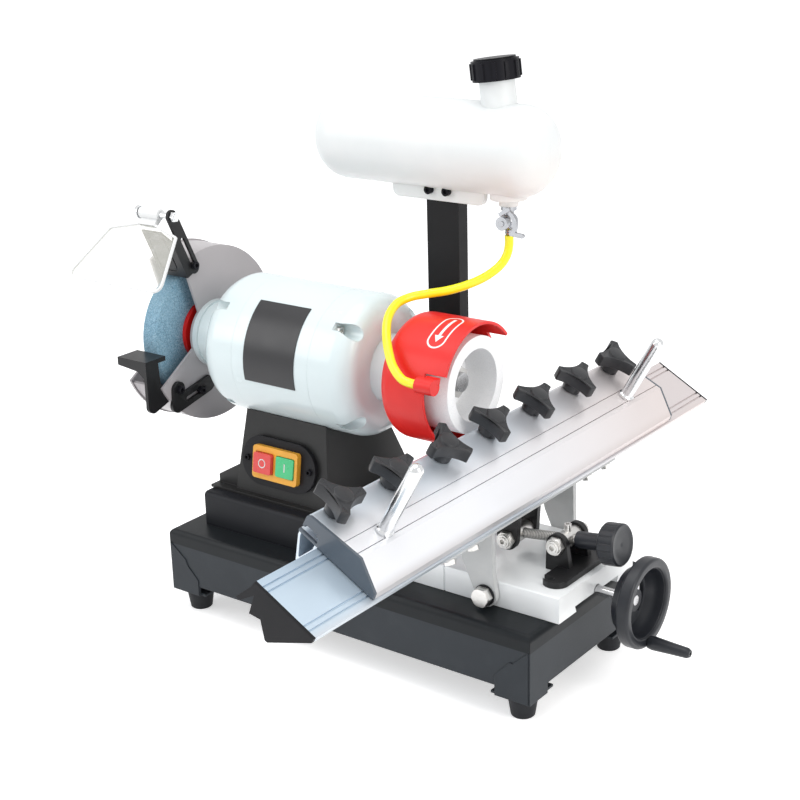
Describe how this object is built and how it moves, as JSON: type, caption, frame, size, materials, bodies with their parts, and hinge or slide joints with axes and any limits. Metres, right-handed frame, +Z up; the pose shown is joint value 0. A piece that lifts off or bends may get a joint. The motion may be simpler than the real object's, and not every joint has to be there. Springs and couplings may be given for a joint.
{
  "type": "wet grinding sharpener",
  "caption": "Bench sharpener with a straight wheel, a cup wheel, a water tank and a tilting rail that carries a planer-knife holder.",
  "frame": {"origin": "middle of the rectangle of the four rubber feet, on the bench", "axes": "+X towards the handwheel along the spindle, +Y along the knife rail away from the operator, +Z up"},
  "size_m": [0.692, 0.711, 0.6012],
  "materials": {
    "base_paint": "satin",
    "stand_paint": "satin",
    "black_rubber": "matt",
    "black_paint": "satin",
    "motor_paint": "gloss",
    "guard_metal": "satin",
    "blue_abrasive": "matt",
    "white_abrasive": "matt",
    "red_paint": "gloss",
    "steel": "turned",
    "zinc": "zinc plated",
    "chrome": "bright",
    "clear_pane": "clear",
    "white_wire": "gloss",
    "stop_red": "gloss",
    "start_green": "gloss",
    "switch_yellow": "gloss",
    "black_plastic": "matt",
    "black_gloss": "gloss",
    "milky_plastic": "translucent look",
    "yellow_hose": "gloss",
    "bed_paint": "satin",
    "white_paint": "gloss",
    "rail_aluminium": "brushed",
    "core_steel": "raw"
  },
  "bodies": {
    "frame": {"base_box": "base_paint", "rubber_feet": "black_rubber", "riser_channel": "stand_paint", "motor_stand": "stand_paint", "machine_screws": "steel", "switch_plate": "black_plastic", "switch_frame": "switch_yellow", "motor_shell": "motor_paint", "end_bells": "motor_paint", "stator": "core_steel", "bearings": "steel", "motor_plate": "black_gloss", "cable_gland": "black_plastic", "wheel_guard": "guard_metal", "guard_cover": "guard_metal", "rest_bracket": "black_paint", "cup_guard": "red_paint", "water_nozzle": "red_paint", "tank_post": "black_paint", "water_tank": "milky_plastic", "valve_body": "chrome", "water_hose": "yellow_hose", "dovetail_bed": "bed_paint"},
    "spindle": {"rotor_shaft": "steel", "grinding_wheel": "blue_abrasive", "wheel_flanges": "red_paint", "cup_wheel": "white_abrasive"},
    "stop": {"stop_button": "stop_red"},
    "start": {"start_button": "start_green"},
    "deflector": {"spark_deflector": "black_paint", "shield_rod": "chrome"},
    "shield": {"shield_frame": "white_wire", "shield_pane": "clear_pane"},
    "rest": {"tool_rest": "black_paint"},
    "cap": {"tank_cap": "black_plastic"},
    "lever": {"valve_lever": "chrome"},
    "saddle": {"saddle": "white_paint", "pivot_bolts": "zinc", "fork_bracket": "black_paint"},
    "screw": {"leadscrew": "steel", "handwheel": "black_plastic"},
    "crank": {"crank_handle": "black_plastic"},
    "rail": {"rail_cradle": "zinc", "rail_bolts": "zinc", "lower_rail": "rail_aluminium", "rail_caps": "black_plastic"},
    "lower_swivel": {"lower_trunnion": "zinc"},
    "upper_swivel": {"upper_trunnion": "zinc"},
    "adjuster": {"adjuster_screw": "zinc"},
    "carriage": {"carriage": "rail_aluminium", "carriage_caps": "black_plastic", "chrome_handles": "chrome"},
    "bar": {"clamp_bar": "steel"},
    "knob_1": {"clamp_knob_1": "black_plastic"},
    "knob_2": {"clamp_knob_2": "black_plastic"},
    "knob_3": {"clamp_knob_3": "black_plastic"},
    "knob_4": {"clamp_knob_4": "black_plastic"},
    "knob_5": {"clamp_knob_5": "black_plastic"},
    "knob_6": {"clamp_knob_6": "black_plastic"},
    "knob_7": {"clamp_knob_7": "black_plastic"}
  },
  "joints": [
    {"name": "spindle_turn", "type": "hinge", "parent": "frame", "child": "spindle", "pos_m": [-0.1, 0.01, 0.288], "axis": [1, 0, 0], "continuous": true},
    {"name": "stop_press", "type": "slide", "parent": "frame", "child": "stop", "axis": [0, 0.9889, -0.1483], "range_m": [0, 0.002], "stiffness_N_per_m": 400},
    {"name": "start_press", "type": "slide", "parent": "frame", "child": "start", "axis": [0, 0.9889, -0.1483], "range_m": [0, 0.002], "stiffness_N_per_m": 400},
    {"name": "deflector_adjust", "type": "slide", "parent": "frame", "child": "deflector", "axis": [0, -0.4226, 0.9063], "range_m": [-0.004, 0.003]},
    {"name": "shield_tilt", "type": "hinge", "parent": "deflector", "child": "shield", "pos_m": [-0.281, -0.04807, 0.43081], "axis": [1, 0, 0], "range_deg": [-90, 3]},
    {"name": "rest_adjust", "type": "slide", "parent": "frame", "child": "rest", "axis": [0, 0.9455, 0.3256], "range_m": [-0.012, 0.002]},
    {"name": "cap_lift", "type": "slide", "parent": "frame", "child": "cap", "axis": [-0.1219, 0, 0.9925], "range_m": [0, 0.05]},
    {"name": "valve_turn", "type": "hinge", "parent": "frame", "child": "lever", "pos_m": [0.086, 0.076, 0.437], "axis": [0, 1, 0], "range_deg": [0, 90]},
    {"name": "saddle_feed", "type": "slide", "parent": "frame", "child": "saddle", "axis": [1, 0, 0], "range_m": [-0.004, 0.006]},
    {"name": "feed_screw_turn", "type": "hinge", "parent": "frame", "child": "screw", "pos_m": [0.25, 0.006, 0.104], "axis": [1, 0, 0], "continuous": true},
    {"name": "crank_spin", "type": "hinge", "parent": "screw", "child": "crank", "pos_m": [0.3, 0.006, 0.064], "axis": [1, 0, 0], "continuous": true},
    {"name": "rail_tilt", "type": "hinge", "parent": "saddle", "child": "rail", "pos_m": [0.162, 0.006, 0.109], "axis": [0, 1, 0], "range_deg": [0, 10]},
    {"name": "lower_swivel_turn", "type": "hinge", "parent": "saddle", "child": "lower_swivel", "pos_m": [0.207, 0.006, 0.1505], "axis": [0, 1, 0], "range_deg": [-1, 1.5]},
    {"name": "upper_swivel_turn", "type": "hinge", "parent": "rail", "child": "upper_swivel", "pos_m": [0.15, 0.006, 0.1435], "axis": [0, 1, 0], "range_deg": [-10, 3]},
    {"name": "adjuster_turn", "type": "hinge", "parent": "lower_swivel", "child": "adjuster", "pos_m": [0.207, 0.006, 0.1505], "axis": [0.9925, 0, 0.1219], "continuous": true},
    {"name": "carriage_stroke", "type": "slide", "parent": "rail", "child": "carriage", "axis": [0, 1, 0], "range_m": [-0.2, 0.2]},
    {"name": "bar_clamp", "type": "slide", "parent": "carriage", "child": "bar", "axis": [0.4909, 0, 0.8712], "range_m": [-0.004, 0]},
    {"name": "knob_1_turn", "type": "hinge", "parent": "carriage", "child": "knob_1", "pos_m": [0.12329, -0.2443, 0.25239], "axis": [0.4909, 0, 0.8712], "continuous": true},
    {"name": "knob_2_turn", "type": "hinge", "parent": "carriage", "child": "knob_2", "pos_m": [0.12329, -0.1643, 0.25239], "axis": [0.4909, 0, 0.8712], "continuous": true},
    {"name": "knob_3_turn", "type": "hinge", "parent": "carriage", "child": "knob_3", "pos_m": [0.12329, -0.0843, 0.25239], "axis": [0.4909, 0, 0.8712], "continuous": true},
    {"name": "knob_4_turn", "type": "hinge", "parent": "carriage", "child": "knob_4", "pos_m": [0.12329, -0.0043, 0.25239], "axis": [0.4909, 0, 0.8712], "continuous": true},
    {"name": "knob_5_turn", "type": "hinge", "parent": "carriage", "child": "knob_5", "pos_m": [0.12329, 0.0757, 0.25239], "axis": [0.4909, 0, 0.8712], "continuous": true},
    {"name": "knob_6_turn", "type": "hinge", "parent": "carriage", "child": "knob_6", "pos_m": [0.12329, 0.1557, 0.25239], "axis": [0.4909, 0, 0.8712], "continuous": true},
    {"name": "knob_7_turn", "type": "hinge", "parent": "carriage", "child": "knob_7", "pos_m": [0.12329, 0.2357, 0.25239], "axis": [0.4909, 0, 0.8712], "continuous": true}
  ],
  "couplings": [
    {"joint": "feed_screw_turn", "follows": "saddle_feed", "rad_per_m": -1570.8},
    {"joint": "lower_swivel_turn", "follows": "rail_tilt", "ratio": 0.093},
    {"joint": "upper_swivel_turn", "follows": "rail_tilt", "ratio": -0.907},
    {"joint": "adjuster_turn", "follows": "rail_tilt", "ratio": 151}
  ]
}
